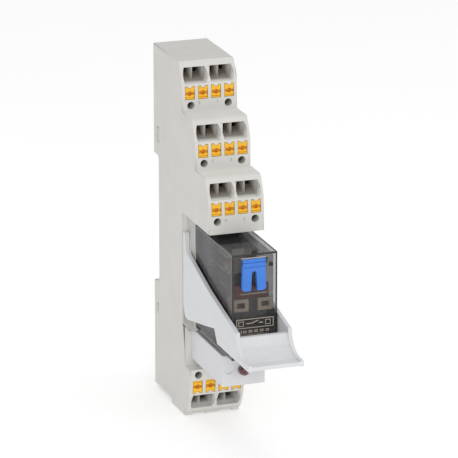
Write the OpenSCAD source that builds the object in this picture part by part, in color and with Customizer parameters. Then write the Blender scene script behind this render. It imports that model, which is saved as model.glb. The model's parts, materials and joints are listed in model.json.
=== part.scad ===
// Plug-in relay on a stepped rail socket: socket with push-in terminals, retaining and
// ejecting clip, two-pole relay with a clear cover, and a plug-in indicator module.
// X runs across the socket, +Y points back to the rail, +Z is up.
// The origin is the rail's centre line, on the face that rests against the rail.
// In the drawings below d is the distance forward from the rear face and h is the
// height above the feet, so a side outline is a list of [d, h] points.

/* [Socket body] */
// Width across the socket, from side to side
body_w = 15.8; // [15.6:0.1:19]
// Thickness of the side walls
wall_t = 1.0; // [0.8:0.1:1.1]
// Thickness of the wall between the two poles
web_t = 1.1; // [0.8:0.1:1.4]
// Depth of the topmost terminal step
step_d = 24.5; // [24.5:0.5:29]
// How far each step stands out in front of the one above it
step_out = 10.8; // [9:0.1:13]
// Height from one terminal step to the next
tier_pitch = 13.2; // [13.2:0.1:16]
// Radius of the rounded front of a step
nose_r = 12.3; // [12:0.1:15]
// Height of the flat part of a step's front, below the rounded part
nose_drop = 8.4; // [8:0.1:9]
// Height of the extra flat band under the lowest upper step's terminals
skirt_h = 1.9; // [1:0.1:3]
// Height of the lower terminal step's top above the feet
low_top = 14.4; // [14.4:0.1:17]
// Depth of the lower terminal step
low_d = 30.3; // [30:0.1:34]
// Height of the bay that the indicator module plugs into
module_bay_h = 11.4; // [11.4:0.1:14]
// Thickness of the shelf between the module bay and the relay bay
shelf_t = 0.4; // [0.4:0.1:1]
// Depth of the face that the relay seats on
seat_d = 31.0; // [31:0.1:33]
// Depth of the face that the indicator module seats on
bay_d = 26.4; // [26:0.1:28]

/* [Rail] */
// Height of the rail's centre line above the feet
rail_h = 50.1; // [48:0.1:53]
// Height of the rail
rail_w = 35; // [30:1:35]
// Depth of the rail recess in the rear face
rail_d = 4.15; // [3.6:0.05:4.6]
// How far the hooks reach behind the rail's edges
hook_lap = 1.2; // [0.8:0.1:1.6]
// Thickness of the rail's flange
rail_t = 1.0; // [0.8:0.1:1.5]

/* [Terminals] */
// Distance between neighbouring release buttons
button_pitch = 3.7; // [3.6:0.05:4]
// Width of a release button
button_w = 2.6; // [2.2:0.1:2.8]
// Height of a release button
button_h = 3.5; // [3:0.1:3.8]
// Width of a wire entry, which serves two wires
entry_w = 6.9; // [6:0.1:7]
// Height of a wire entry
entry_h = 4.25; // [3.4:0.05:4.4]
// Radius of a test probe hole
probe_r = 1.05; // [0.9:0.025:1.2]
// Thickness of a terminal bar
bar_t = 0.8; // [0.6:0.1:1]
// Thickness of a clamp spring
spring_t = 0.35; // [0.25:0.05:0.5]

/* [Relay] */
// Length of the relay, which stands upright in its bay
relay_l = 29.1; // [28:0.1:32]
// Width of the relay
relay_w = 12.65; // [12:0.05:12.7]
// Depth of the relay from its seat to its front
relay_d = 29.5; // [28:0.1:34]
// Thickness of the clear cover
cover_t = 0.8; // [0.6:0.1:1]
// Distance between the two rows of pins
pin_rows = 7.5; // [7.2:0.1:7.6]
// Length of the pins below the relay's base
pin_l = 5.0; // [3.5:0.1:5.5]
// Width of the test lever
lever_w = 6.4; // [5:0.1:7]
// Length of the test lever
lever_l = 8.2; // [7:0.1:9]
// How far the lever sits to the left of the relay's middle
lever_off = 0.5; // [0:0.1:1]

/* [Clip] */
// Thickness of the clip's two arms
arm_t = 1.1; // [0.9:0.1:1.2]
// Thickness of the clip's front plate
plate_t = 1.2; // [1:0.1:1.5]
// Radius of the finger rest in the clip's front plate
rest_r = 6.93; // [6:0.1:8]
// Radius of the clip's pivot
pivot_r = 1.2; // [1:0.05:1.4]
// Number of grip ridges on the finger rest
ridges = 6; // [3:1:8]

/* [Indicator module] */
// Width of the module
module_w = 12.2; // [11:0.1:12.6]
// Height of the module
module_h = 8.8; // [8:0.1:9.4]
// Depth of the module from its seat to its front
module_d = 25.5; // [22:0.5:30]
// Radius of the lamp
lamp_r = 1.5; // [1.2:0.1:2]

/* [Hidden] */
$fn = 48;

half_w = body_w / 2;
// clearances
slip = 0.05;   // running fit, per side
gap = 0.2;     // free gap between pieces that pass each other

// heights of the bays and steps
shelf_top = low_top + module_bay_h + shelf_t;
relay_h0 = shelf_top + 0.67;
relay_top = relay_h0 + relay_l;
skirt_bottom = relay_top + 1.48;
low_end = low_top - tier_pitch;
foot_d = [14.7, 26];                // the feet, from back to front
foot_groove = [3.77, 2.03, 0.55];   // grooves between the feet: middle, half width, height
cap_t = 1.5;                        // wall above the wires of every step
inner_wall = 1.2;                   // wall between the hollow and the bays in front
block_l = 9.2;                      // depth of the moulded block behind a step's front
// the tiers, by number: 0 top, 1 middle, 2 lowest upper step, 3 coil terminals
tier_front = [step_d, step_d + step_out, step_d + 2 * step_out, low_d];
tier_end = [for (k = [0:2]) skirt_bottom + skirt_h + (3 - k) * tier_pitch];
body_h = tier_end[0];

// relay bay and clip recess
recess_d = 24.5;                    // where the full-width side walls end in the relay bay
seat_half = half_w - arm_t - 0.1 - gap;
relay_back = seat_d + slip;
relay_front = relay_back + relay_d;
pin_x = pin_rows / 2;
// heights of the pin rows above the relay's lower end: coil, closed, common, open
row_coil = relay_h0 + 2.9;
row_nc = relay_top - 11.7;
row_com = relay_top - 6.7;
row_no = relay_top - 1.7;
bar_row = [row_no, row_com, row_nc, row_coil];

// clip pivot and ejector lug, both [d, h]
pivot = [27, shelf_top + 4.8];
lug = [seat_d - 1.1, pivot[1] + 13];
lug_r = 0.9;
lug_in = max(relay_w / 2 - 1, pin_x + 0.95);  // how far in the lug reaches behind the relay
rest_at = [relay_front + 14, pivot[1] + 6.5];
lip_d = rest_at[0] + 2.8;
arm_low = pivot[1] - 1.7;
rim = 0.35;                         // how far the arms stand up beside the finger rest

// indicator module
module_h0 = low_top + 2.2;
module_back = bay_d + slip;
module_front = module_back + module_d;
module_mid = module_h0 + module_h / 2;
module_pin_h = module_mid;
module_board_h = module_mid - 3.2;

// terminal details, measured from a step's front [u] and its wire end [v]
entry_x = button_pitch;
entry_v = 3.63;
entry_deep = 4.4;
entry_bulge = 4.8;
funnel_w = 2.75;
funnel_l = 3.1;
button_v = 8.15;
button_deep = 10.0;
button_step = 6.9;                  // the button is wider from here on
button_travel = 1.2;
notch_r = 0.75;                     // notch in the button's wire side
probe_x = 5.3;
probe_v = 11.6;
wire_v = 2.25;

// rear cover and rail latch
cover_half = half_w - wall_t - slip;
recess_top = rail_h + rail_w / 2 + 0.3;
recess_low = rail_h - rail_w / 2 - 0.2;
lip_low = recess_low - 1.0;
floor_t = 1.5;
latch_w = 6.0;
latch_d0 = 0.7;
latch_d1 = rail_d - rail_t - 0.3;
latch_ear = [0.7, 1.95, 7];         // reach to the side, depth, height of the lower end
snap_high = [2.6, 4.6, 72, 76];     // windows for the rear cover's snaps: depths and heights
snap_low = [2.2, 3.6, 22.8, 25.2];
snap_play = 0.15;
ear_top = 77.4;                     // top of the ears that carry the upper snaps

// places a depth and a height in the model's frame
function fy(d) = rail_d - d;
function fz(h) = h - rail_h;

// outline of a strip of thickness t that follows the points p
function unit(a) = a / norm(a);
function left_of(a) = [-a[1], a[0]];
function miter(p, i) =
    i == 0 ? left_of(unit(p[1] - p[0])) :
    i == len(p) - 1 ? left_of(unit(p[i] - p[i - 1])) :
    let (a = left_of(unit(p[i] - p[i - 1])), b = left_of(unit(p[i + 1] - p[i])))
    (a + b) / (1 + a * b);
function strip(p, t) = concat(
    [for (i = [0:len(p) - 1]) p[i] + miter(p, i) * t / 2],
    [for (i = [len(p) - 1:-1:0]) p[i] - miter(p, i) * t / 2]);

// ---- drawing helpers ----

// extrudes a [d, h] outline from x0 to x1
module slab(x0, x1) {
    translate([x0, rail_d, -rail_h]) mirror([0, 1, 0]) rotate([90, 0, 90])
        linear_extrude(x1 - x0) children();
}

// extrudes a [d, h] outline on both sides, between two distances from the middle
module both(x0, x1) {
    slab(x0, x1) children();
    slab(-x1, -x0) children();
}

module box(x0, x1, d0, d1, h0, h1) {
    translate([x0, fy(d1), fz(h0)]) cube([x1 - x0, d1 - d0, h1 - h0]);
}

module both_box(x0, x1, d0, d1, h0, h1) {
    box(x0, x1, d0, d1, h0, h1);
    box(-x1, -x0, d0, d1, h0, h1);
}

module area(d0, d1, h0, h1) {
    translate([d0, h0]) square([d1 - d0, h1 - h0]);
}

// a rod across the model, at a [d, h] point
module rod_x(x0, x1, at, r) {
    translate([x0, fy(at[0]), fz(at[1])]) rotate([0, 90, 0]) cylinder(h = x1 - x0, r = r);
}

// a rod that runs forward, from depth d0 to d1
module rod_d(x, h, d0, d1, r) {
    translate([x, fy(d0), fz(h)]) rotate([90, 0, 0]) cylinder(h = d1 - d0, r = r);
}

// moves a shape drawn at a step's front and wire end to tier k
module at_tier(k) {
    if (k < 3) translate([0, fy(tier_front[k]), fz(tier_end[k])]) children();
    else translate([0, fy(low_d), fz(low_end)]) mirror([0, 0, 1]) children();
}

// extrudes an [x, v] outline into a step, from u0 to u1
module into(u0, u1) {
    translate([0, u0, 0]) rotate([-90, 0, 0]) linear_extrude(u1 - u0) children();
}

// the same for a [u, v] side outline, from x0 to x1
module tier_slab(x0, x1) {
    translate([x0, 0, 0]) mirror([0, 0, 1]) rotate([90, 0, 90])
        linear_extrude(x1 - x0) children();
}

// ---- socket ----

// side outline of one step: flat front below, rounded front above
module step_outline(front, end, down) {
    top = front - nose_r;
    area(0, top, end - down, end);
    area(top - 1, front, end - down, end - nose_drop);
    intersection() {
        translate([top, end - nose_drop]) circle(nose_r, $fn = 96);
        area(top - 1, front + 1, end - down, end);
    }
}

module body_outline() {
    step_outline(tier_front[0], tier_end[0], tier_pitch + 1);
    step_outline(tier_front[1], tier_end[1], tier_pitch + 1);
    step_outline(tier_front[2], tier_end[2], tier_pitch + skirt_h);
    area(0, recess_d, low_top - 1, tier_end[2] - 1);
    area(0, seat_d, shelf_top - 0.1, skirt_bottom + 1);
    area(0, bay_d, low_top - 1, low_top + module_bay_h);
    area(0, seat_d, low_top + module_bay_h, shelf_top);
    translate([0, 2 * low_end + tier_pitch])
        mirror([0, 1]) step_outline(low_d, low_end + tier_pitch, tier_pitch);
    area(foot_d[0], foot_d[1], 0, low_end + 2);
}

module recess_outline() {
    polygon([[-1, lip_low - 0.25], [0, lip_low], [rail_d, recess_low],
             [rail_d, recess_top - 0.6], [rail_d - 0.6, recess_top], [-1, recess_top]]);
}

// the space inside the side walls, open to the rear
module inner_outline() {
    for (k = [0:2]) area(-1, tier_front[k] - block_l,
        k == 2 ? skirt_bottom + inner_wall : tier_end[k + 1] - 2, tier_end[k] - cap_t);
    area(-1, recess_d - inner_wall, low_top + inner_wall, tier_end[2] - 2);
    area(-1, low_d - block_l, low_end + cap_t, low_top + inner_wall + 0.1);
    area(-1, bay_d - inner_wall, low_top + inner_wall, low_top + module_bay_h - 0.8);
}

// the part of the inside that the rear cover takes up
module cover_space_outline() {
    area(-1, 1.55, low_end + cap_t, body_h - cap_t);
    area(-1, rail_d + floor_t + slip, lip_low - 1.25, recess_top + 1.25);
    area(-1, rail_d + floor_t + slip, low_end + cap_t, lip_low);
    area(-1, rail_d + 1.15, recess_top, ear_top + gap);
}

// one wire entry mouth with bulged sides, drawn around its middle
module entry_mouth() {
    intersection() {
        square([entry_w, entry_h], center = true);
        translate([entry_w / 2 - entry_bulge, 0]) circle(entry_bulge, $fn = 96);
        translate([entry_bulge - entry_w / 2, 0]) circle(entry_bulge, $fn = 96);
    }
}

// everything that is cut into one step's front
module tier_cuts() {
    funnel_h = entry_h - 0.6;
    for (s = [-1, 1]) {
        into(-1, entry_deep) translate([s * entry_x, entry_v]) entry_mouth();
        for (t = [-1, 1]) translate([s * entry_x + t * 1.6, entry_deep - 0.01, -wire_v])
            rotate([-90, 0, 0]) {
                linear_extrude(funnel_l, scale = 0.7)
                    translate([-funnel_w / 2, -0.3]) square([funnel_w, funnel_h]);
                translate([-0.9, -0.1]) linear_extrude(block_l) square([1.8, 2.1]);
            }
        translate([s * probe_x, -1, -probe_v]) rotate([-90, 0, 0])
            cylinder(h = block_l + 2, r = probe_r);
    }
    for (i = [-1.5:1:1.5]) {
        difference() {
            into(-1, block_l + 1) translate([i * button_pitch, button_v])
                square([button_w + 0.2, button_h + 0.2], center = true);
            // a rib of the housing fills the notch of each button
            into(0, button_step) translate([i * button_pitch, button_v - button_h / 2 - 0.2])
                circle(notch_r - 0.1);
        }
        into(button_step, block_l + button_travel + 1.4) translate([i * button_pitch, button_v])
            square([button_w + 0.8, button_h + 0.2], center = true);
    }
}

module relay_slot(x, h) {
    box(x - 0.45, x + 0.45, seat_d - 2, seat_d + 1, h - 0.9, h + 0.9);
}

module socket_housing() color([0.80, 0.80, 0.78]) difference() {
    slab(-half_w, half_w) body_outline();
    slab(-half_w - 1, half_w + 1) recess_outline();
    // the two arm recesses beside the relay seat
    both_box(seat_half, half_w + 1, recess_d, seat_d + 1, shelf_top, skirt_bottom);
    // hollow for the metal parts, one on each side of the middle web
    both(web_t / 2, half_w - wall_t) inner_outline();
    both_box(web_t / 2, pin_x + 0.75, recess_d - 2, seat_d - 1.2, shelf_top + 1.2,
             skirt_bottom + 2);
    slab(-cover_half - slip, cover_half + slip) cover_space_outline();
    for (k = [0:3]) at_tier(k) tier_cuts();
    // pin slots in the relay seat and in the module bay
    for (s = [-1, 1]) {
        for (h = bar_row) relay_slot(s * pin_x, h);
        box(s * pin_x - 0.45, s * pin_x + 0.45, bay_d - 2, bay_d + 1,
            module_pin_h - 0.9, module_pin_h + 0.9);
    }
    // pivot bores and ejector slots
    for (s = [0, 1]) mirror([s, 0, 0]) {
        rod_x(seat_half - 1.4, seat_half + 1, pivot, pivot_r + slip);
        box(min(seat_half - 1.3, lug_in - 0.1), seat_half + 1, lug[0] - 1.1, seat_d + 1,
            lug[1] - 1.6, lug[1] + 1.3);
        // windows for the rear cover's snaps
        for (w = [snap_high, snap_low])
            box(half_w - wall_t - 1, half_w + 1, w[0], w[1], w[2], w[3]);
    }
    // grooves between the feet, and the way out for the rail latch
    for (s = [-1, 1]) box(s * foot_groove[0] - foot_groove[1], s * foot_groove[0] + foot_groove[1],
                          foot_d[0] - 1, low_d, -1, foot_groove[2]);
    box(-latch_w / 2 - 1, latch_w / 2 + 1, -1, rail_d + floor_t, -1, low_end + cap_t + 1);
}

module rear_cover() color([0.74, 0.75, 0.73]) difference() {
    union() {
        slab(-cover_half, cover_half) {
            area(0, 1.5, recess_top, body_h - cap_t - slip);
            area(0, rail_d + floor_t, recess_top, recess_top + 1.2);
            area(rail_d, rail_d + floor_t, low_end + cap_t + slip, recess_top + 1.2);
            polygon([[0, lip_low - 1.2], [0, lip_low], [rail_d, recess_low],
                     [rail_d + floor_t, recess_low], [rail_d + floor_t, lip_low - 1.2]]);
        }
        // rails beside the latch, and the fixed hook above the rail
        both_box(latch_w / 2 + gap, cover_half, 0, rail_d + 0.1, low_end + cap_t + slip,
                 lip_low - 1);
        box(-4.9, 4.9, latch_d0, rail_d - rail_t - 0.1, rail_h + rail_w / 2 - hook_lap,
            recess_top + 0.1);
        // snaps in the side windows
        both_box(cover_half - 1, cover_half, 1.4, rail_d + 1, recess_top + 1, ear_top);
        for (w = [snap_high, snap_low])
            both_box(cover_half - 0.5, half_w - snap_play, w[0] + snap_play, w[1] - snap_play,
                     w[2] + snap_play, w[3] - snap_play);
    }
    // weight-saving pockets in the rails, below and above the lower snaps
    both_box(latch_w / 2 + 1.6, cover_half - 1, -1, rail_d, 5, snap_low[2] - 1.8);
    both_box(latch_w / 2 + 1.6, cover_half - 1, -1, rail_d, snap_low[3] + 1.3, lip_low - 2.2);
    // groove for the latch's ears, and the way up for its hook
    both_box(latch_w / 2 - 1, latch_w / 2 + latch_ear[0] + gap, latch_ear[1] - gap,
             latch_d1 + gap, -1, lip_low - 3.4);
    box(-latch_w / 2 - gap, latch_w / 2 + gap, -1, latch_d1 + gap, -1, lip_low + 2);
    box(-latch_w / 2 - gap, latch_w / 2 + gap, -1, rail_d - 0.9, lip_low - 1.3, lip_low + 2);
}

// the sliding foot that hooks behind the rail's lower edge
module rail_latch() color([0.22, 0.22, 0.23]) difference() {
    union() {
        box(-latch_w / 2, latch_w / 2, latch_d0, latch_d1, 0.3, recess_low + 0.2);
        slab(-latch_w / 2, latch_w / 2) polygon([
            [latch_d0, recess_low], [latch_d1, recess_low],
            [latch_d1, recess_low + 0.2 + hook_lap], [latch_d0 + 0.9, recess_low + 0.2 + hook_lap],
            [latch_d0, recess_low + 0.6]]);
        box(-latch_w / 2 - latch_ear[0], latch_w / 2 + latch_ear[0], latch_ear[1], latch_d1,
            latch_ear[2], lip_low - 4);
    }
    // slot for a screwdriver, and a flexing tongue
    box(-1.8, 1.8, -1, rail_d, 1.4, 2.6);
    for (s = [-1, 1]) box(s * 1.6 - 0.3, s * 1.6 + 0.3, -1, rail_d, 12, 24);
}

// ---- terminals ----

// spring in a terminal: one strip with two tongues, each pressed by its own button
module clamp(k, side) color([0.72, 0.73, 0.75]) at_tier(k) {
    path = [[16.1, 11.3], [10.9, 11.3], [10.35, 10.6], [10.35, 5.4], [12.9, 2.75]];
    middle = side * entry_x;
    difference() {
        tier_slab(middle - 2.9, middle + 2.9) polygon(strip(path, spring_t));
        // the cut between the two tongues
        translate([middle - 0.35, 9, -10.2]) cube([0.7, 6, 9]);
    }
}

// fork that grips a pin, [d, h] of its front and its middle
module fork(x, d, h) {
    difference() {
        box(x - 0.7, x + 0.7, d - 4.4, d, h - 1.1, h + 1.1);
        box(x - 0.27, x + 0.27, d - 4, d + 1, h - 0.62, h + 0.62);
    }
}

// terminal bar: a plate over the two wires, a leg, and the fork that takes the relay's pin
module bar(k, side) color([0.78, 0.66, 0.36]) {
    x = side * pin_x;
    leg_u = 16.5;
    leg_d = tier_front[k] - leg_u - 0.6;
    plate_h = k < 3 ? tier_end[k] - cap_t - 0.35 : low_end + cap_t + 0.35;
    row = bar_row[k == 3 ? 3 : 2 - k];
    at_tier(k) translate([side * entry_x - 2.8, 9.6, -cap_t - 0.65])
        cube([5.6, leg_u + 1.2 - 9.6, 0.6]);
    slab(x - bar_t / 2, x + bar_t / 2) {
        if (k < 2) {
            area(leg_d - 0.6, leg_d + 0.6, row - 0.6, plate_h);
            area(leg_d - 0.6, seat_d - 5.5, row - 0.6, row + 0.6);
        }
        // the lowest of the three ends above the relay's own open contact pin
        if (k == 2) area(leg_d - 0.6, leg_d + 0.6, row + 0.8, plate_h);
        if (k == 3) {
            area(leg_d - 0.6, leg_d + 0.6, plate_h, row + 0.6);
            area(leg_d - 0.6, seat_d - 5.5, row - 0.6, row + 0.6);
            area(leg_d - 0.6, bay_d - 5.5, module_pin_h - 0.6, module_pin_h + 0.6);
        }
    }
    fork(x, seat_d - 1.3, row);
    if (k == 3) fork(x, bay_d - 1.3, module_pin_h);
}

// release button number n of 4, from left to right
module release_button(k, n) color([0.95, 0.70, 0.15]) at_tier(k)
    translate([(n - 2.5) * button_pitch, 0, 0]) difference() {
        union() {
            into(0.1, button_deep) translate([0, button_v])
                square([button_w, button_h], center = true);
            into(button_step + 0.1, button_deep) translate([0, button_v])
                square([button_w + 0.5, button_h], center = true);
        }
        // groove and dimple for a screwdriver, and the notch on the wire side
        into(-1, 0.55) translate([0, button_v + 0.15]) square([button_w + 1, 0.7], center = true);
        translate([0, -1, -button_v - 0.15]) rotate([-90, 0, 0]) cylinder(h = 1.9, r = 0.62);
        into(-1, button_step + 0.1) translate([0, button_v - button_h / 2 - 0.2]) circle(notch_r);
        into(-1, 0.3) translate([0, button_v + 1.3]) square([button_w + 1, 0.15], center = true);
    }

// ---- retaining clip ----

module clip_outline() {
    difference() {
        polygon([
            [recess_d + 0.2, pivot[1] + 20.9], [recess_d + 0.7, pivot[1] + 21.5],
            [pivot[0] - 0.25, pivot[1] + 21.5], [pivot[0] - 0.25, pivot[1] + 17],
            [pivot[0] + 0.6, pivot[1] + 16.4],
            [pivot[0] + 4.8, pivot[1] + 15], [pivot[0] + 17.8, pivot[1] + 11],
            [pivot[0] + 29.1, pivot[1] + 8.45], [rest_at[0] - 7.5, rest_at[1] - 0.4],
            [lip_d, rest_at[1] - 0.4], [lip_d, arm_low],
            [pivot[0] + 25.8, arm_low - 0.1], [pivot[0] + 23.25, pivot[1] + 1.8],
            [pivot[0] + 16.3, pivot[1] + 0.3], [pivot[0] + 8, pivot[1] - 1.3],
            [pivot[0] + 1.3, pivot[1] - 2.7], [pivot[0] - 0.9, pivot[1] - 2.35],
            [recess_d + 0.2, pivot[1] + 0.6]]);
        translate(rest_at) circle(rest_r - rim, $fn = 96);
        area(rest_at[0], lip_d + 1, rest_at[1] - rest_r + rim, rest_at[1]);
    }
}

// cross-section of the finger rest: a bowl that runs out level to its lip
module rest_outline() {
    difference() {
        union() {
            intersection() {
                translate(rest_at) circle(rest_r + plate_t, $fn = 96);
                area(rest_at[0] - rest_r - 3, rest_at[0], arm_low, rest_at[1] - 1.9);
            }
            area(rest_at[0] - 0.1, lip_d, arm_low + 0.2, rest_at[1] - rest_r);
        }
        translate(rest_at) circle(rest_r, $fn = 96);
    }
}

module retaining_clip() color([0.86, 0.87, 0.90]) {
    inner = half_w - 0.1 - arm_t;
    both(inner, half_w - 0.1) clip_outline();
    for (s = [0, 1]) mirror([s, 0, 0]) {
        rod_x(seat_half - 1.2, inner + 0.1, pivot, pivot_r);
        rod_x(lug_in, inner + 0.1, lug, lug_r);
    }
    slab(-inner - 0.1, inner + 0.1) rest_outline();
    // grip ridges across the finger rest
    for (i = [0:ridges - 1]) {
        a = 221.5 + i * 8;
        rod_x(-inner - 0.1, inner + 0.1, rest_at + (rest_r + 0.14) * [cos(a), sin(a)], 0.34);
    }
}

// ---- relay ----

cover_half_w = relay_w / 2;
inside_half = cover_half_w - cover_t;
narrow = inside_half / 5.525;       // the works get narrower with the relay
works_half = 5.3 * narrow;
strip_x = [3, 5 * narrow];          // a contact strip's edges
contact_x = (strip_x[0] + strip_x[1]) / 2;
contact_r = 0.4 * (strip_x[1] - strip_x[0]);
base_top = relay_back + 4.45;
coil_h = relay_h0 + 10.2;
winding_d = [relay_back + 7.2, relay_back + 23.2];
blade_h = relay_top - 4.9;
hinge_at = [relay_back + 25.6, relay_h0 + 18.5];
lever_at = [relay_front + 0.65, relay_top - 1.7];

// a box on one side of the middle, between two distances from it
module side_box(side, x0, x1, d0, d1, h0, h1) {
    box(side > 0 ? x0 : -x1, side > 0 ? x1 : -x0, d0, d1, h0, h1);
}

// a contact rivet that stands on a strip
module rivet(side, h, height) {
    translate([side * contact_x, fy(relay_back + 19.4), fz(h)]) cylinder(h = height, r = contact_r);
}

// a pin under the base, at row height h
module pin(x, h) {
    box(x - 0.25, x + 0.25, relay_back - pin_l, relay_back + 1.6, h - 0.6, h + 0.6);
}

// the pin with its strip inside the relay, as one piece of sheet metal
module pin_nc(side) {
    x = side * pin_x;
    pin(x, row_nc);
    slab(x - 0.25, x + 0.25) area(relay_back + 0.8, relay_back + 1.6, row_nc - 0.6, row_nc + 2.6);
    slab(side > 0 ? strip_x[0] : -strip_x[1], side > 0 ? strip_x[1] : -strip_x[0])
        polygon(strip([[relay_back + 1.2, row_nc + 2.1], [relay_back + 6.2, row_nc + 2.1],
                       [relay_back + 6.8, row_nc + 4.7], [relay_back + 20.5, row_nc + 4.7]], 0.4));
    rivet(side, row_nc + 4.7, 1.55);
}

module pin_com(side) {
    x = side * pin_x;
    pin(x, row_com);
    slab(x - 0.25, x + 0.25) area(relay_back + 0.8, relay_back + 1.6, row_com - 0.6, blade_h + 0.2);
    side_box(side, pin_x - 1.2, strip_x[1], relay_back + 1.2, relay_back + 5, blade_h - 0.2,
             blade_h + 0.2);
}

module pin_no(side) {
    x = side * pin_x;
    pin(x, row_no);
    slab(x - 0.25, x + 0.25) area(relay_back + 0.8, relay_back + 1.6, row_no - 1.2, row_no + 0.6);
    side_box(side, strip_x[0], strip_x[1], relay_back + 1.2, relay_back + 20.5,
             row_no - 1.2, row_no - 0.8);
    rivet(side, row_no - 1.9, 0.8);
}

module pin_coil(side) {
    x = side * pin_x;
    pin(x, row_coil);
    box(x - 0.25, x + 0.25, relay_back + 1.2, relay_back + 6.4, row_coil - 0.4, row_coil + 0.4);
}

// the flexing part of a common contact, hinged where it leaves its pin
module blade(side) color([0.80, 0.62, 0.42]) {
    side_box(side, 2.2, strip_x[1], relay_back + 5.06, relay_back + 20.6, blade_h - 0.15,
             blade_h + 0.15);
    rivet(side, blade_h - 0.5, 0.9);
}

module relay_base() color([0.10, 0.10, 0.11]) difference() {
    union() {
        box(-cover_half_w, cover_half_w, relay_back, relay_back + 0.8, relay_h0, relay_top);
        box(-inside_half + slip, inside_half - slip, relay_back, base_top,
            relay_h0 + cover_t + slip, relay_top - cover_t - slip);
    }
    for (s = [-1, 1]) {
        pin_nc(s);
        pin_com(s);
        pin_no(s);
        pin_coil(s);
    }
}

module relay_cover() color([0.32, 0.33, 0.37, 0.45]) difference() {
    union() {
        box(-cover_half_w, cover_half_w, relay_back + 0.8 + slip, relay_front, relay_h0,
            relay_top);
        // ears that hold the test lever
        translate([-lever_off, 0, 0])
            both_box(lever_w / 2 + 0.1, lever_w / 2 + 0.6, relay_front - 0.2, relay_front + 1.2,
                     lever_at[1] - 0.7, lever_at[1] + 0.7);
    }
    box(-inside_half, inside_half, relay_back - 1, relay_front - cover_t,
        relay_h0 + cover_t, relay_top - cover_t);
    rod_x(-lever_off - lever_w / 2 - 1, -lever_off + lever_w / 2 + 1, lever_at, 0.35);
    // vent hole in the top, near the front
    translate([0.95, fy(relay_front - 2.6), fz(relay_top - 2)]) cylinder(h = 3, r = 0.8);
}

module coil_bobbin() color([0.68, 0.64, 0.57]) {
    difference() {
        union() {
            for (d = [winding_d[0] - 1.2, winding_d[1]])
                box(-works_half, works_half, d, d + 1.2, coil_h - 5.5, coil_h + 5.5);
            rod_d(0, coil_h, winding_d[0] - 0.1, winding_d[1] + 0.1, 2.7);
        }
        rod_d(0, coil_h, winding_d[0] - 2, winding_d[1] + 2, 2.1);
    }
    // the two window frames behind the cover's front, and the legs that carry them
    frame_d = relay_front - cover_t - 1.1;
    frame_h = relay_h0 + 13;
    for (s = [-1, 1]) translate([s * (works_half - 1.9), 0, 0]) difference() {
        box(-2.1 * narrow, 2.1 * narrow, frame_d, frame_d + 0.9, frame_h, frame_h + 3.35);
        box(-1.1 * narrow, 1.1 * narrow, frame_d - 1, frame_d + 2, frame_h + 0.9, frame_h + 2.4);
    }
    both_box(works_half - 0.55, works_half, winding_d[1] + 1, frame_d + 0.5, frame_h,
             frame_h + 1.6);
}

module coil_winding() color([0.48, 0.20, 0.16]) difference() {
    rod_d(0, coil_h, winding_d[0], winding_d[1], works_half - 0.4);
    rod_d(0, coil_h, winding_d[0] - 1, winding_d[1] + 1, 2.7);
}

module coil_core() color([0.55, 0.56, 0.58]) {
    rod_d(0, coil_h, relay_back + 4.6, winding_d[1] + 1.3, 2.0);
    rod_d(0, coil_h, winding_d[1] + 1.25, winding_d[1] + 2.1, 3.3);
}

module yoke() color([0.60, 0.61, 0.63]) difference() {
    slab(0.8 - works_half, works_half - 0.8) {
        area(relay_back + 4.6, relay_back + 5.9, coil_h - 5.2, hinge_at[1] - 0.4);
        area(relay_back + 4.6, hinge_at[0] - 0.4, hinge_at[1] - 1.8, hinge_at[1] - 0.4);
    }
    rod_d(0, coil_h, relay_back, relay_back + 8, 2.0);
}

module armature() color([0.62, 0.63, 0.65]) {
    // the plate, with the rolled edge that rocks on the yoke
    slab(1 - works_half, works_half - 1)
        area(hinge_at[0] + 0.4, hinge_at[0] + 1.6, coil_h - 4, hinge_at[1] + 1.2);
    rod_x(1.9 - works_half, works_half - 1.9, hinge_at, 0.35);
    slab(1.9 - works_half, works_half - 1.9)
        area(hinge_at[0], hinge_at[0] + 0.5, hinge_at[1] - 0.2, hinge_at[1] + 0.3);
    slab(-2, 2) area(hinge_at[0] - 10, hinge_at[0] + 1.6, hinge_at[1] + 0.2, hinge_at[1] + 1.2);
}

module actuator_card() color([0.85, 0.83, 0.78]) {
    d = hinge_at[0] - 9.9;
    box(-2.9, 2.9, d, d + 0.9, hinge_at[1] + 1.25, blade_h - 0.2);
    box(-1.6, 1.6, d, d + 0.9, blade_h - 0.3, blade_h + 2.2);
}

// front outline of the lever: two legs with rounded ends, the outer edges slightly splayed
module lever_outline() {
    leg_r = 0.9;
    slot_r = 0.6;
    slot_top = -3.4;
    splay = 0.3;
    difference() {
        hull() {
            translate([-lever_w / 2, -1]) square([lever_w, 0.6]);
            for (s = [-1, 1]) translate([s * (lever_w / 2 + splay / 2 - leg_r), leg_r - lever_l])
                circle(leg_r);
        }
        // the slot between the two legs, open and wider below
        hull() {
            translate([0, slot_top]) circle(slot_r);
            for (s = [-1, 1]) translate([s * slot_r * 0.9, -lever_l - 1]) circle(slot_r * 0.6);
        }
    }
}

module test_lever() color([0.25, 0.51, 0.88]) translate([-lever_off, 0, 0]) {
    difference() {
        union() {
            translate([0, fy(lever_at[0] + 0.55), fz(lever_at[1])]) rotate([-90, 0, 0])
                mirror([0, 1, 0]) linear_extrude(1.1) lever_outline();
            rod_x(-lever_w / 2, lever_w / 2, lever_at, 0.55);
        }
        // crease under the hinge
        box(-lever_w, lever_w, lever_at[0] + 0.4, lever_at[0] + 1, lever_at[1] - 1.65,
            lever_at[1] - 1.4);
    }
    rod_x(-lever_w / 2 - 0.5, lever_w / 2 + 0.5, lever_at, 0.3);
}

// ---- indicator module ----

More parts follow.
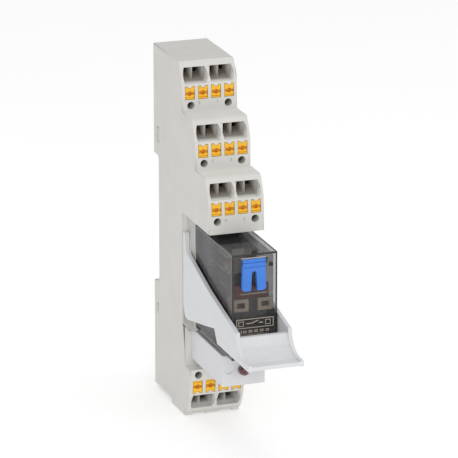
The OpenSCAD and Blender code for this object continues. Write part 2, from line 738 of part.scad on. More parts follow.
module module_housing() color([0.82, 0.82, 0.83]) difference() {
    box(-module_w / 2, module_w / 2, module_back, module_front, module_h0, module_h0 + module_h);
    box(-module_w / 2 + 0.9, module_w / 2 - 0.9, module_back + 1, module_front - 1,
        module_h0 + 0.9, module_h0 + module_h - 0.9);
    rod_d(0, module_mid, module_front - 2, module_front + 1, lamp_r + slip);
    rod_d(-4.1, module_mid, module_front - 0.25, module_front + 1, 0.95);
    for (s = [-1, 1]) box(s * pin_x - 0.27, s * pin_x + 0.27, module_back - 1, module_back + 2,
                          module_pin_h - 0.62, module_pin_h + 0.62);
}

module module_board() color([0.12, 0.36, 0.22]) {
    h = module_board_h;
    box(-module_w / 2 + 1.1, module_w / 2 - 1.1, module_back + 1.2, module_front - 2.4, h, h + 0.9);
    // diode, resistor and lamp stand
    translate([2.2, fy(module_back + 8), fz(h + 1.8)]) rotate([0, 90, 0])
        cylinder(h = 3, r = 1.0, center = true);
    box(1.9 - module_w / 2, 5.1 - module_w / 2, module_back + 12, module_back + 13.6, h + 0.8,
        h + 1.5);
    box(-1.2, 1.2, module_front - 6.2, module_front - 4.6, h + 0.8, module_mid + 1);
}

module module_lamp() color([0.45, 0.06, 0.08]) {
    rod_d(0, module_mid, module_front - 3.2, module_front + 0.7, lamp_r);
    rod_d(0, module_mid, module_front - 4.5, module_front - 2.1, lamp_r + 0.3);
    translate([0, fy(module_front + 0.7), fz(module_mid)]) sphere(lamp_r);
}

module module_pin(side) color([0.80, 0.80, 0.82]) {
    x = side * pin_x;
    box(x - 0.25, x + 0.25, module_back - 4.2, module_back + 3.4, module_pin_h - 0.6,
        module_pin_h + 0.6);
    box(x - 0.25, x + 0.25, module_back + 2.4, module_back + 3.4, module_board_h + 0.9,
        module_pin_h + 0.6);
}

socket_housing();
rear_cover();
rail_latch();
retaining_clip();
bar(0, -1);  // bar_nc_left
bar(0, 1);  // bar_nc_right
bar(1, -1);  // bar_com_left
bar(1, 1);  // bar_com_right
bar(2, -1);  // bar_no_left
bar(2, 1);  // bar_no_right
bar(3, -1);  // bar_coil_left
bar(3, 1);  // bar_coil_right
clamp(0, -1);  // clamp_nc_left
clamp(0, 1);  // clamp_nc_right
clamp(1, -1);  // clamp_com_left
clamp(1, 1);  // clamp_com_right
clamp(2, -1);  // clamp_no_left
clamp(2, 1);  // clamp_no_right
clamp(3, -1);  // clamp_coil_left
clamp(3, 1);  // clamp_coil_right
release_button(0, 1);  // button_nc_1
release_button(0, 2);  // button_nc_2
release_button(0, 3);  // button_nc_3
release_button(0, 4);  // button_nc_4
release_button(1, 1);  // button_com_1
release_button(1, 2);  // button_com_2
release_button(1, 3);  // button_com_3
release_button(1, 4);  // button_com_4
release_button(2, 1);  // button_no_1
release_button(2, 2);  // button_no_2
release_button(2, 3);  // button_no_3
release_button(2, 4);  // button_no_4
release_button(3, 1);  // button_coil_1
release_button(3, 2);  // button_coil_2
release_button(3, 3);  // button_coil_3
release_button(3, 4);  // button_coil_4
relay_base();
relay_cover();
coil_bobbin();
coil_winding();
coil_core();
yoke();
armature();
actuator_card();
blade(-1);  // blade_left
blade(1);  // blade_right
color("gold") pin_com(-1);  // pin_com_left
color("gold") pin_com(1);  // pin_com_right
color("gold") pin_no(-1);  // pin_no_left
color("gold") pin_no(1);  // pin_no_right
color("gold") pin_nc(-1);  // pin_nc_left
color("gold") pin_nc(1);  // pin_nc_right
color("gold") pin_coil(-1);  // pin_coil_left
color("gold") pin_coil(1);  // pin_coil_right
test_lever();
module_housing();
module_board();
module_lamp();
module_pin(-1);  // module_pin_left
module_pin(1);  // module_pin_right
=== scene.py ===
# %% [markdown]
# # A plug-in relay on its rail socket
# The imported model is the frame: socket, clip, relay and module are already there at their
# real size, in metres. This script gives every visible piece its finish, rounds the moulded
# edges, and adds the small things that a moulding tool or a printer leaves behind.

# %% Load the frame
import json
import math
import bmesh
import bpy
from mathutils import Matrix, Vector


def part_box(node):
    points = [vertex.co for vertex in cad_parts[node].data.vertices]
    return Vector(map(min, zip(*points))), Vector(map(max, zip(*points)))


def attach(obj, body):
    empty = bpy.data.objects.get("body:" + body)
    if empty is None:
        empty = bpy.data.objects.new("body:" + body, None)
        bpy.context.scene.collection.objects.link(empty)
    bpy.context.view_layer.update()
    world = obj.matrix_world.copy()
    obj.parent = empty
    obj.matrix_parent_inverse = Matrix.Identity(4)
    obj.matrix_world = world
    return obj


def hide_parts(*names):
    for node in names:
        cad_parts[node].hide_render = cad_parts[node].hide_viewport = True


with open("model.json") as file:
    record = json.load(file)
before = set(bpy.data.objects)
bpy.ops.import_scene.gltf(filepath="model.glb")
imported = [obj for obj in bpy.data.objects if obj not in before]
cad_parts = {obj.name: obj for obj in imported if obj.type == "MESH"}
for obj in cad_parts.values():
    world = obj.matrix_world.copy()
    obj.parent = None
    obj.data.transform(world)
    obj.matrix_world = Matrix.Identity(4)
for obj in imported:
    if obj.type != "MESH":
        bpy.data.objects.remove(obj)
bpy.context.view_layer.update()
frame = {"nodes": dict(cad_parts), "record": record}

MM = 0.001
nodes = frame["nodes"]
print("nodes in the frame:", len(nodes))

# %% [markdown]
# The rear face, the feet and the front planes of the socket are used all through the script,
# so they are read once from the frame's boxes.

# %% Places on the object
low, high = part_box("socket_housing")
half_w = high.x
feet = low.z
rear = high.y


def depth(d):
    """The y of a point d millimetres in front of the rear face."""
    return rear - d * MM


def height(h):
    """The z of a point h millimetres above the feet."""
    return feet + h * MM


print("socket", [round((b - a) / MM, 2) for a, b in zip(low, high)], "mm")

# %% [markdown]
# The camera stands far off with a long lens, so the object's upright edges stay nearly
# parallel. It looks 19 degrees from the left and 17 degrees down.

# %% Camera
CAMERA_TURN = math.radians(-19.293)
CAMERA_RISE = math.radians(17.186)
CAMERA_FAR = 1.084581
LENS = 315.98
right = Vector((math.cos(CAMERA_TURN), math.sin(CAMERA_TURN), 0))
back = Vector((math.sin(CAMERA_TURN) * math.cos(CAMERA_RISE),
               -math.cos(CAMERA_TURN) * math.cos(CAMERA_RISE), math.sin(CAMERA_RISE)))
up = back.cross(right)
aim = Vector((0, depth(30), height(50))) + right * 3.357 * MM + up * 3.647 * MM
bpy.ops.object.camera_add(location=aim + back * CAMERA_FAR)
camera = bpy.context.object
camera.rotation_mode = "QUATERNION"
camera.rotation_quaternion = (-back).to_track_quat("-Z", "Y")
camera.data.lens = LENS
camera.data.sensor_width = 36
camera.data.clip_start = 0.05
camera.data.clip_end = 20
bpy.context.scene.camera = camera
print("camera at", [round(c, 3) for c in camera.location])

# %% [markdown]
# A pale floor and soft light from a large panel on the left, a weaker one on the right, and
# one above. The white surroundings give the clear cover something to reflect.

# %% Floor and light
bpy.context.scene.view_settings.view_transform = "Standard"
world = bpy.data.worlds.new("studio")
bpy.context.scene.world = world
world.use_nodes = True
world.node_tree.nodes["Background"].inputs["Color"].default_value = (1, 1, 1, 1)
world.node_tree.nodes["Background"].inputs["Strength"].default_value = 0.62


def panel(name, place, size, power):
    """A square area light that faces the object."""
    bpy.ops.object.light_add(type="AREA", location=place)
    lamp = bpy.context.object
    lamp.name = name
    lamp.data.size = size
    lamp.data.energy = power
    lamp.rotation_mode = "QUATERNION"
    lamp.rotation_quaternion = (-Vector(place)).to_track_quat("-Z", "Y")
    return lamp


panel("light_front_left", (-0.35, -0.85, 0.35), 0.5, 2.2)
panel("light_right", (0.75, -0.45, 0.25), 0.5, 1.0)
panel("light_above", (0.05, -0.1, 0.9), 0.6, 1.55)
bpy.ops.mesh.primitive_plane_add(size=6, location=(0, 0, feet))
floor = bpy.context.object
floor.name = "floor"
print("floor at", round(feet, 4))

# %% [markdown]
# ## Materials
# A material is a small sum. The class below wraps a shader socket, so that a mask can be
# written as an expression, and one method makes every other node.

# %% A socket that can do sums
class Wire:
    """A shader socket, or a number, that takes part in sums by adding Math nodes."""

    def __init__(self, tree, value):
        self.tree = tree
        self.value = value

    def node(self, kind, settings=None, out=0, **inputs):
        made = self.tree.nodes.new(kind)
        for name, setting in (settings or {}).items():
            setattr(made, name, setting)
        for name, value in inputs.items():
            socket = made.inputs[int(name[1:])] if name[0] == "i" and name[1:].isdigit() \
                else made.inputs[name.replace("_", " ")]
            if isinstance(value, Wire):
                self.tree.links.new(value.value, socket)
            else:
                socket.default_value = value
        return Wire(self.tree, made.outputs[out])

    def math(self, operation, a, b=0.0, c=0.0):
        return self.node("ShaderNodeMath", {"operation": operation}, i0=a, i1=b, i2=c)

    def axis(self, number):
        """The x, y or z of a vector, by number from 0."""
        return self.node("ShaderNodeSeparateXYZ", out=number, Vector=self)

    def within(self, middle, reach):
        """1 within a reach of the middle value, 0 outside it."""
        return self.math("COMPARE", self, middle, reach)

    def __add__(self, other):
        return self.math("ADD", self, other)

    __radd__ = __add__

    def __mul__(self, other):
        return self.math("MULTIPLY", self, other)

    __rmul__ = __mul__

    def __sub__(self, other):
        return self.math("SUBTRACT", self, other)

    def __rsub__(self, other):
        return self.math("SUBTRACT", other, self)

    def above(self, edge, width):
        """0 below the edge and 1 above it, with a ramp of that width."""
        return self.node("ShaderNodeMapRange", {}, i0=self, i1=edge - width / 2,
                         i2=edge + width / 2)

    def mix(self, a, b):
        """Colour a where this mask is 0 and colour b where it is 1."""
        made = self.tree.nodes.new("ShaderNodeMix")
        made.data_type = "RGBA"
        self.tree.links.new(self.value, made.inputs[0])
        for socket, value in ((made.inputs[6], a), (made.inputs[7], b)):
            if isinstance(value, Wire):
                self.tree.links.new(value.value, socket)
            else:
                socket.default_value = (*value, 1)
        return Wire(self.tree, made.outputs[2])


# %% [markdown]
# Every finish starts the same way: a new material, its shader node and the object's own
# coordinates, which stay with a piece when it moves. Two small helpers add the noise and
# the relief that most finishes share.

# %% A start for every material
def new_material(name):
    """A material, its shader node, and the wire of Object coordinates."""
    material = bpy.data.materials.new(name)
    material.use_nodes = True
    tree = material.node_tree
    shader = tree.nodes["Principled BSDF"]
    place = Wire(tree, tree.nodes.new("ShaderNodeTexCoord").outputs["Object"])
    return material, shader, place


def plug(shader, name, wire):
    shader.id_data.links.new(wire.value, shader.inputs[name])


def grain(place, size_mm, detail=3.0, rough=0.6):
    """A noise whose lumps are about size_mm across."""
    return place.node("ShaderNodeTexNoise", {}, Vector=place, Scale=1 / (size_mm * MM),
                      Detail=detail, Roughness=rough)


def bump(place, wire, height_mm, strength=1.0):
    return place.node("ShaderNodeBump", {}, Strength=strength, Distance=height_mm * MM,
                      Height=wire)


print("material helpers ready")

# %% [markdown]
# Moulded plastic is never one flat colour. The tool's fine spark texture scatters the
# light, the melt leaves very soft clouds, and handling leaves a little dust and shine.

# %% Moulded plastic
COLOUR_STEPS = 255


def moulded(name, colour, shade, rough=0.45, texture_mm=0.12, depth_mm=0.004, painted_shade=None):
    """Plastic with soft clouds from colour to shade, and a fine spark texture.

    The last argument is a pair for painted shade: a mask made from the place, and the darker
    colour painted under it.
    """
    material, shader, place = new_material(name)
    clouds = grain(place, 9, 2.0)
    specks = grain(place, 0.35, 4.0, 0.7)
    spark = grain(place, texture_mm, 2.0)
    mask = clouds.above(0.5, 0.5) * 0.7 + specks.above(0.55, 0.3) * 0.3
    tone = mask.mix(colour, shade)
    # where a mask is given, shade is painted into the colour as a darker tone
    if painted_shade:
        tone = painted_shade[0](place).mix(tone, painted_shade[1])
    plug(shader, "Base Color", tone)
    plug(shader, "Roughness", clouds * 0.10 + specks * 0.08 + (rough - 0.09))
    plug(shader, "Normal", bump(place, spark + grain(place, 2.5) * 0.6, depth_mm))
    shader.inputs["IOR"].default_value = 1.5
    return material


def linear(*srgb):
    """A colour picked in sRGB, 0 to 255, as the shader wants it."""
    return tuple(((c / COLOUR_STEPS + 0.055) / 1.055) ** 2.4 for c in srgb)


print("a mid grey is", round(linear(128)[0], 3), "to the shader")

# %% [markdown]
# Deep inside the wire entries and probe holes little light comes back, so the housing's colour
# is painted darker there as shade. The fronts of the terminal steps are rounded above, so the
# depth behind a front is measured from the rounding's axis, which the release buttons of each
# step locate.

# %% Shade inside the terminals
NOSE = 12.3 * MM            # radius of a step's rounded front
NOSE_RISE = 8.4 * MM        # from a step's end to the axis of that rounding
BUTTON_DROP = 8.15 * MM     # from a step's end to the middle of its buttons
BUTTON_SET = 0.1 * MM       # the buttons stand this far behind the front
WALL = 0.55 * MM            # the side walls stay clean
steps = []
for step, way in (("nc", 1), ("com", 1), ("no", 1), ("coil", -1)):
    button_low, button_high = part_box(f"button_{step}_1")
    end = (button_low.z + button_high.z) / 2 + way * BUTTON_DROP
    steps.append((button_low.y - BUTTON_SET, end, way))


def painted_shade_in_terminals(place):
    """A mask of painted shade that grows from 0 at a step's front to 1 well inside its openings.
    """
    x, y, z = (place.axis(i) for i in range(3))
    mask = x.within(0, half_w - WALL)
    total = 0.0
    for front, end, way in steps:
        axis_y = front + NOSE
        axis_z = end - way * NOSE_RISE
        rise = (z - axis_z) * way
        rise = rise.math("MAXIMUM", rise, 0.0)
        run = y - axis_y
        far = run.math("SQRT", run * run + rise * rise)
        sunk = (NOSE - far).above(3.2 * MM, 4.0 * MM)
        total = sunk * z.within(end - way * 6.6 * MM, 6.3 * MM) + total
    return mask * total


print("steps of terminals:", len(steps))

# %% [markdown]
# The socket is pale grey, its rear cover a little darker, and the clip and the module are
# cooler whites. The release buttons are orange, with painted shade in the screwdriver grooves.

# %% The plastics
# the housing's colour is painted darker deep inside the terminals, as painted shade
housing_grey = moulded("housing_grey", linear(212, 210, 205), linear(204, 203, 198), 0.5,
                       painted_shade=(painted_shade_in_terminals, linear(104, 94, 82)))
cover_grey = moulded("cover_grey", linear(196, 195, 190), linear(188, 188, 183), 0.5)
latch_black = moulded("latch_black", linear(52, 52, 54), linear(44, 44, 47), 0.5)
clip_white = moulded("clip_white", linear(217, 218, 220), linear(210, 211, 213), 0.42, 0.1, 0.002)
module_white = moulded("module_white", linear(215, 215, 218), linear(208, 209, 212),
                       0.4, 0.1, 0.002)
lever_blue = moulded("lever_blue", linear(60, 126, 216), linear(50, 113, 203), 0.36, 0.1, 0.002)


def painted_shade_in_buttons(place):
    """A mask of the screwdriver grooves and dimples in the release buttons, where shade is
    painted.
    """
    y, z = place.axis(1), place.axis(2)
    total = 0.0
    for front, end, way in steps:
        sunk = y.above(front + 0.45 * MM, 0.3 * MM)
        total = sunk * z.within(end - way * BUTTON_DROP, 1.0 * MM) + total
    return total


# the buttons' grooves and dimples are painted a darker orange, as painted shade
orange = moulded("orange_button", linear(243, 187, 20), linear(235, 172, 12), 0.35, 0.1, 0.002,
                 painted_shade=(painted_shade_in_buttons, linear(216, 138, 10)))
base_black = moulded("base_black", linear(38, 38, 40), linear(30, 30, 33), 0.4)
bobbin_beige = moulded("bobbin_beige", linear(226, 210, 186), linear(214, 196, 172), 0.5)
card_ivory = moulded("card_ivory", linear(222, 216, 200), linear(212, 205, 188), 0.5)
print("plastics made")

# %% [markdown]
# Stamped metal shows the fine parallel lines of the rolled sheet, and tin or brass dulls
# in soft patches.

# %% Metal
def stamped(name, colour, shade, rough=0.3, metal=1.0):
    """Sheet metal with rolling lines along its length and dull patches."""
    material, shader, place = new_material(name)
    stretched = place.node("ShaderNodeMapping", {}, Vector=place, Scale=(1, 0.06, 1))
    lines = grain(stretched, 0.09, 2.0)
    patches = grain(place, 2.2, 3.0)
    plug(shader, "Base Color", patches.above(0.5, 0.4).mix(colour, shade))
    plug(shader, "Roughness", lines * 0.15 + patches * 0.2 + (rough - 0.17))
    plug(shader, "Normal", bump(place, lines, 0.003))
    shader.inputs["Metallic"].default_value = metal
    return material


tinned = stamped("tinned_pin", (0.62, 0.62, 0.60), (0.52, 0.52, 0.50), 0.28)
brass = stamped("terminal_brass", (0.62, 0.45, 0.20), (0.50, 0.36, 0.17), 0.32)
spring_steel = stamped("spring_steel", (0.52, 0.52, 0.53), (0.42, 0.42, 0.44), 0.3)
iron = stamped("plated_iron", (0.22, 0.19, 0.165), (0.15, 0.13, 0.11), 0.42)
bronze = stamped("contact_bronze", (0.66, 0.38, 0.20), (0.55, 0.30, 0.16), 0.3)
print("metals made")

# %% [markdown]
# The relay's cover is smoky clear plastic. It is see-through rather than refracting, so the
# works inside stay visible, and its gloss comes from the shader's own reflection.

# %% Smoky clear plastic
EAR = 1.2 * MM              # the cover's ears stand this far in front of its face
EDGE = 0.46 * MM            # how much of a wall looks thick and dark
WORKS_MID = 46              # the works look denser behind this depth
cover_low, cover_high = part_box("relay_cover")
cover_front = cover_low.y + EAR


def smoky(name, colour, haze, cover, rough=0.06):
    """Tinted plastic that looks thick, so nearly black, along the edges of its box."""
    material, shader, place = new_material(name)
    flow = grain(place, 7, 2.0)
    scuffs = grain(place, 0.5, 5.0, 0.75)
    walls = ((cover_low.x, cover_high.x), (cover_front, cover_high.y),
             (cover_low.z, cover_high.z))
    # how many pairs of walls a point is near: one on a face, two on an edge
    near = 0.0
    for i, (least, most) in enumerate(walls):
        off = place.axis(i) - (least + most) / 2
        off = off.math("ABSOLUTE", off)
        near = off.above((most - least) / 2 - EDGE, 0.16 * MM) + near
    edge = near.above(1.5, 0.6)
    rear_half = place.axis(1).above(depth(WORKS_MID), 5 * MM)
    clear = flow.above(0.5, 0.6).mix(colour, haze)
    plug(shader, "Base Color", edge.mix(clear, tuple(c * 0.2 for c in colour)))
    plug(shader, "Roughness", scuffs.above(0.62, 0.2) * 0.10 + rough)
    face = place.axis(1).within(cover_front, 0.2 * MM)
    plug(shader, "Alpha", flow * 0.06 + edge * 0.85 + rear_half * 0.15 - face * 0.24 + cover)
    plug(shader, "Normal", bump(place, flow, 0.01))
    shader.inputs["IOR"].default_value = 1.55
    return material


smoke = smoky("smoky_cover", (0.030, 0.030, 0.034), (0.045, 0.045, 0.052), 0.41)
print("cover front at", round(cover_front / MM, 2), "mm")

# %% [markdown]
# The coil is wound with enamelled wire and wrapped in red-brown tape, so its finish shows
# fine turns under a soft sheen. The circuit board has the weave of its glass cloth under
# green resist. The lamp is a tinted lens that is dark when it isn't lit.

# %% Coil tape, circuit board and lamp
def wound(name):
    material, shader, place = new_material(name)
    turns = place.node("ShaderNodeTexWave", {"wave_type": "BANDS", "bands_direction": "Y"},
                       Vector=place, Scale=1900.0, Distortion=0.6, Detail=1.0)
    wear = grain(place, 1.5)
    plug(shader, "Base Color", wear.above(0.5, 0.5).mix(linear(150, 62, 48), linear(118, 44, 36)))
    plug(shader, "Roughness", wear * 0.2 + 0.25)
    plug(shader, "Normal", bump(place, turns, 0.02))
    shader.inputs["Coat Weight"].default_value = 0.3
    return material


def resist(name):
    material, shader, place = new_material(name)
    weave = place.node("ShaderNodeTexWave", {"bands_direction": "X"}, Vector=place, Scale=900.0)
    tracks = grain(place, 1.8, 1.0).above(0.56, 0.03)
    plug(shader, "Base Color", tracks.mix(linear(24, 84, 48), linear(52, 122, 70)))
    plug(shader, "Roughness", weave * 0.1 + 0.25)
    plug(shader, "Normal", bump(place, weave + tracks * 3.0, 0.006))
    return material


def lens(name):
    material, shader, place = new_material(name)
    haze = grain(place, 0.6)
    plug(shader, "Base Color", haze.mix(linear(92, 10, 16), linear(66, 5, 11)))
    plug(shader, "Roughness", haze * 0.08 + 0.05)
    shader.inputs["Coat Weight"].default_value = 0.8
    shader.inputs["Subsurface Weight"].default_value = 0.2
    shader.inputs["Subsurface Scale"].default_value = 1 * MM
    return material


tape_red = wound("coil_tape")
board_green = resist("circuit_board")
lamp_red = lens("lamp_red")
floor_white, floor_shader, floor_place = new_material("floor_white")
paper = grain(floor_place, 60, 2.0)
plug(floor_shader, "Base Color", paper.mix((0.93, 0.93, 0.93), (0.91, 0.91, 0.91)))
floor_shader.inputs["Roughness"].default_value = 0.9
floor_shader.inputs["Emission Color"].default_value = (1, 1, 1, 1)
floor_shader.inputs["Emission Strength"].default_value = 0.25
floor.data.materials.append(floor_white)
print("materials:", len(bpy.data.materials))

# %% [markdown]
# ## Putting the finishes on
# Every node gets a finish, those that are shown by a rounded copy later too. One table
# says which finish goes with which names.

# %% Finishes by node
def paint(name, material):
    mesh = nodes[name].data
    mesh.materials.clear()
    mesh.materials.append(material)


def names(start):
    return sorted(n for n in nodes if n.startswith(start))


for start, material in (("bar_", brass), ("clamp_", spring_steel), ("pin_", tinned),
                        ("module_pin", tinned), ("blade_", bronze), ("coil_core", iron),
                        ("yoke", iron), ("armature", iron), ("coil_bobbin", bobbin_beige),
                        ("coil_winding", tape_red), ("actuator_card", card_ivory),
                        ("module_board", board_green), ("module_lamp", lamp_red),
                        ("relay_base", base_black), ("rail_latch", latch_black),
                        ("rear_cover", cover_grey), ("socket_housing", housing_grey),
                        ("retaining_clip", clip_white), ("module_housing", module_white),
                        ("relay_cover", smoke), ("test_lever", lever_blue),
                        ("button_", orange)):
    for name in names(start):
        paint(name, material)
print("painted", len(nodes), "nodes")

# %% [markdown]
# ## Rounded edges
# A moulded piece never has a knife edge: the tool leaves a small radius that catches the
# light as a thin bright line. The CAD pieces have sharp edges, so each visible moulding is
# shown by a copy. The copy's loose triangles are merged into whole faces, and a bevel
# modifier rounds the edges that turn sharply.

# %% A rounded copy of a CAD piece
body_of = {n: body for body, members in frame["record"]["behaviour"]["bodies"].items()
           for n in members}
# each side of a box: its axis, and whether the plane is at the box's low or high end
SIDES = {"left": (0, 0), "right": (0, 1), "front": (1, 0), "back": (1, 1),
         "under": (2, 0), "top": (2, 1)}


def softened(node, material, radius_mm, sides, shared=1, split=False, turn=28):
    """A copy of a CAD node that stands in for it, with rounded edges.

    An edge is rounded if it turns by more than turn degrees, and lies on at least shared of
    the named sides of the node's box. split cuts faces with many corners into triangles
    first, which the housing needs and the clip doesn't.
    """
    copy = nodes[node].copy()
    copy.data = nodes[node].data.copy()
    copy.name = node + "_moulded"
    copy.parent = None
    bpy.context.scene.collection.objects.link(copy)
    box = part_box(node)
    planes = [(axis, box[end][axis]) for axis, end in (SIDES[side] for side in sides)]
    mesh = bmesh.new()
    mesh.from_mesh(copy.data)
    bmesh.ops.remove_doubles(mesh, verts=mesh.verts, dist=0.002 * MM)
    bmesh.ops.dissolve_limit(mesh, angle_limit=math.radians(0.5), verts=mesh.verts,
                             edges=mesh.edges)
    if split:
        bmesh.ops.triangulate(mesh, faces=[f for f in mesh.faces if len(f.verts) > 4])
    weight = mesh.edges.layers.float.new("bevel_weight_edge")
    for edge in mesh.edges:
        on = sum(all(abs(v.co[axis] - place) < 0.004 * MM for v in edge.verts)
                 for axis, place in planes)
        if on >= shared and edge.calc_face_angle(0) > math.radians(turn):
            edge[weight] = 1
    mesh.to_mesh(copy.data)
    mesh.free()
    bpy.ops.object.select_all(action="DESELECT")
    copy.select_set(True)
    bpy.context.view_layer.objects.active = copy
    bpy.ops.object.shade_smooth_by_angle(angle=math.radians(turn))
    rim = copy.modifiers.new("rim", "BEVEL")
    rim.width = radius_mm * MM
    rim.segments = 3
    rim.limit_method = "WEIGHT"
    rim.use_clamp_overlap = False
    rim.harden_normals = True
    bpy.ops.object.modifier_apply(modifier=rim.name)
    copy.data.materials.clear()
    copy.data.materials.append(material)
    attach(copy, body_of[node])
    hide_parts(node)
    return copy


rounded = [softened("socket_housing", housing_grey, 0.4, ("left", "right"), split=True),
           softened("rear_cover", cover_grey, 0.15, ("back",)),
           softened("rail_latch", latch_black, 0.15, ("back",)),
           softened("retaining_clip", clip_white, 0.22, ("left", "right")),
           softened("module_housing", module_white, 0.3, SIDES, 2, turn=8),
           softened("relay_base", base_black, 0.15, SIDES, 2),
           softened("test_lever", lever_blue, 0.12, ("front",))]
rounded += [softened(node, orange, 0.08, ("front",)) for node in names("button_")]
print("rounded copies:", len(rounded), "with",
      sum(len(r.data.polygons) for r in rounded), "faces")

# %% [markdown]
# ## Small pieces
# The socket's terminals are numbered. Each number is a text object, thickened a little,
# turned to face forward and made into a mesh. All of them are joined into one piece.

# %% Terminal numbers
NUMBER_SIZE = 1.35 * MM
INK = 0.015 * MM


def number(text, x, d, h):
    """A small number on the front plane d, with its middle at x and h."""
    bpy.ops.object.select_all(action="DESELECT")
    bpy.ops.object.text_add(location=(x * MM, depth(d) - INK, height(h)),
                            rotation=(math.pi / 2, 0, 0))
    mark = bpy.context.object
    mark.data.body = text
    mark.data.size = NUMBER_SIZE
    mark.data.extrude = INK
    mark.data.align_x = "CENTER"
    mark.data.align_y = "CENTER"
    mark.data.resolution_u = 3
    bpy.ops.object.convert(target="MESH")
    bpy.ops.object.transform_apply(location=True, rotation=True, scale=True)
    return mark


def joined(name, pieces, material, body):
    """Joins pieces into one, which rides on a body and has one finish."""
    bpy.ops.object.select_all(action="DESELECT")
    for piece in pieces:
        piece.select_set(True)
    bpy.context.view_layer.objects.active = pieces[0]
    if len(pieces) > 1:
        bpy.ops.object.join()
    whole = bpy.context.object
    whole.name = name
    whole.data.materials.clear()
    whole.data.materials.append(material)
    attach(whole, body)
    return whole


number_grey = moulded("number_grey", linear(165, 165, 162), linear(152, 152, 150), 0.6)
ROWS = ((24.5, 87.95), (35.3, 74.5), (46.1, 61.0))      # depth and height of each row
LEFT_X, RIGHT_X = -2.95, 2.25
marks = []
for row, (d, h) in enumerate(ROWS):
    marks.append(number(str(2 * row + 5), LEFT_X, d, h))
    marks.append(number(str(2 * row + 1), RIGHT_X, d, h))
joined("terminal_numbers", marks, number_grey, "socket")
print("terminal numbers:", len(marks))

# %% [markdown]
# The relay's front carries a printed plate. Its lettering is left out, and a plain contact
# symbol takes its place: a coil box, and the stroke of a switch in a frame. Printed lines
# are thin, so each is a plane whose middle is inset and removed, or a narrow strip, given
# a little thickness.

# %% A printed frame and a printed stroke
def selected_faces(mesh, keep):
    """Selects the faces of a mesh in edit mode whose middle passes a test."""
    data = bmesh.from_edit_mesh(mesh)
    for face in data.faces:
        face.select_set(keep(face))
    bmesh.update_edit_mesh(mesh)


def printed(x0, x1, h0, h1, line, d, lean=0.0):
    """A rectangle of printed line on the plane d; with line 0, it is a solid stroke."""
    bpy.ops.object.select_all(action="DESELECT")
    bpy.ops.mesh.primitive_plane_add(
        size=1, location=((x0 + x1) / 2 * MM, depth(d), height((h0 + h1) / 2)),
        rotation=(math.pi / 2, 0, 0))
    patch = bpy.context.object
    patch.scale = ((x1 - x0) * MM, (h1 - h0) * MM, 1)
    patch.rotation_euler[1] = lean
    bpy.ops.object.transform_apply(location=True, rotation=True, scale=True)
    bpy.ops.object.mode_set(mode="EDIT")
    bpy.ops.mesh.select_all(action="SELECT")
    if line:
        bpy.ops.mesh.inset(thickness=line * MM)
        bpy.ops.mesh.delete(type="FACE")
        bpy.ops.mesh.select_all(action="SELECT")
    bpy.ops.mesh.extrude_region_move(TRANSFORM_OT_translate={"value": (0, -INK, 0)})
    bpy.ops.mesh.select_all(action="SELECT")
    bpy.ops.mesh.normals_make_consistent(inside=False)
    bpy.ops.object.mode_set(mode="OBJECT")
    return patch


ink_white = moulded("ink_white", linear(176, 168, 158), linear(150, 142, 132), 0.55)
FACE = (rear - cover_front) / MM - 0.01     # depth of the relay's front face
plate = [printed(-5.1, 5.35, 35.5, 38.1, 0.22, FACE),
         printed(-4.5, -3.0, 36.1, 37.5, 0.18, FACE),
         printed(-2.3, -1.0, 36.65, 36.95, 0, FACE),
         printed(-0.9, 1.1, 37.0, 37.3, 0, FACE, -0.35),
         printed(1.2, 2.4, 36.65, 36.95, 0, FACE),
         printed(3.0, 4.5, 36.1, 37.5, 0.18, FACE),
         printed(-3.8, -3.6, 34.2, 35.0, 0, FACE)]
plate += [printed(x, x + 0.9, 34.3, 34.9, 0.16, FACE) for x in (-3.2, -1.6, 0.0, 1.6, 3.2)]
joined("relay_symbol", plate, ink_white, "relay")
print("printed shapes:", len(plate))

# %% [markdown]
# Behind the relay's front, a band of red tape keeps the contacts apart from the coil, and
# its cut end shows as a pale line. The band is a strip that is extruded, wrapped round the
# two sides of the works and given the thickness of tape. The mouldings around the lever are
# a pale sill above its hinge and a small round boss on its right.

# %% Tape, sill and boss
TAPE = 0.12                 # thickness of the tape, in millimetres
BOSS_RADIUS = 0.62 * MM


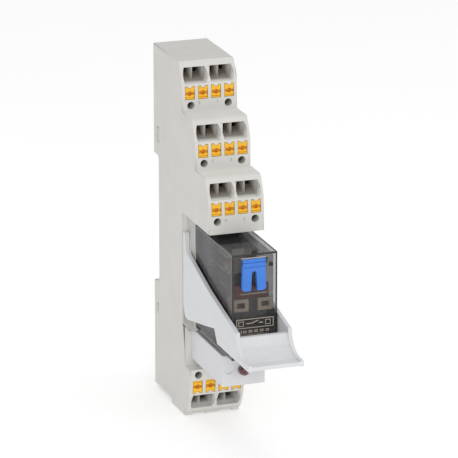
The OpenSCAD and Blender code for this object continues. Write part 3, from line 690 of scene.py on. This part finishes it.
def band(name, x0, x1, d, h0, h1, wrap, material):
    """A thin strip across the front of the works, folded back by wrap at both ends."""
    bpy.ops.object.select_all(action="DESELECT")
    bpy.ops.mesh.primitive_plane_add(
        size=1, location=((x0 + x1) / 2 * MM, depth(d), height((h0 + h1) / 2)),
        rotation=(math.pi / 2, 0, 0))
    strip = bpy.context.object
    strip.scale = ((x1 - x0) * MM, (h1 - h0) * MM, 1)
    bpy.ops.object.transform_apply(location=True, rotation=True, scale=True)
    bpy.ops.object.mode_set(mode="EDIT")
    for end in (x0, x1):
        data = bmesh.from_edit_mesh(strip.data)
        bpy.ops.mesh.select_mode(type="EDGE")
        bpy.ops.mesh.select_all(action="DESELECT")
        for edge in data.edges:
            edge.select_set(all(abs(v.co.x - end * MM) < 0.01 * MM and
                                abs(v.co.y - depth(d)) < 0.01 * MM for v in edge.verts))
        bmesh.update_edit_mesh(strip.data)
        bpy.ops.mesh.extrude_region_move(TRANSFORM_OT_translate={"value": (0, wrap * MM, 0)})
    bpy.ops.object.mode_set(mode="OBJECT")
    for kind, settings in (("SOLIDIFY", {"thickness": TAPE * MM}),
                           ("BEVEL", {"width": 0.05 * MM, "segments": 2})):
        change = strip.modifiers.new(kind, kind)
        for key, value in settings.items():
            setattr(change, key, value)
        bpy.ops.object.modifier_apply(modifier=kind)
    return joined(name, [strip], material, "relay")


band("contact_tape", -5.3, 4.4, 59.3, 43.6, 47.1, 2.0, tape_red)
band("contact_tape_end", -3.6, 3.9, 59.46, 44.45, 44.85, 0.05, card_ivory)
band("lever_sill", -3.85, 3.05, FACE + 0.12, 54.75, 55.0, 0.1, card_ivory)

bpy.ops.object.select_all(action="DESELECT")
bpy.ops.mesh.primitive_cylinder_add(vertices=40, radius=BOSS_RADIUS, depth=0.3 * MM,
                                    location=(4.5 * MM, depth(FACE + 0.1), height(52.7)),
                                    rotation=(math.pi / 2, 0, 0))
boss = bpy.context.object
bpy.ops.object.transform_apply(location=True, rotation=True, scale=True)
bpy.ops.object.mode_set(mode="EDIT")
selected_faces(boss.data, lambda face: face.normal.y < -0.9)
bpy.ops.mesh.inset(thickness=0.2 * MM)
bpy.ops.mesh.extrude_region_move(TRANSFORM_OT_translate={"value": (0, 0.18 * MM, 0)})
bpy.ops.object.mode_set(mode="OBJECT")
joined("lever_boss", [boss], base_black, "relay")
print("tape, sill and boss made")
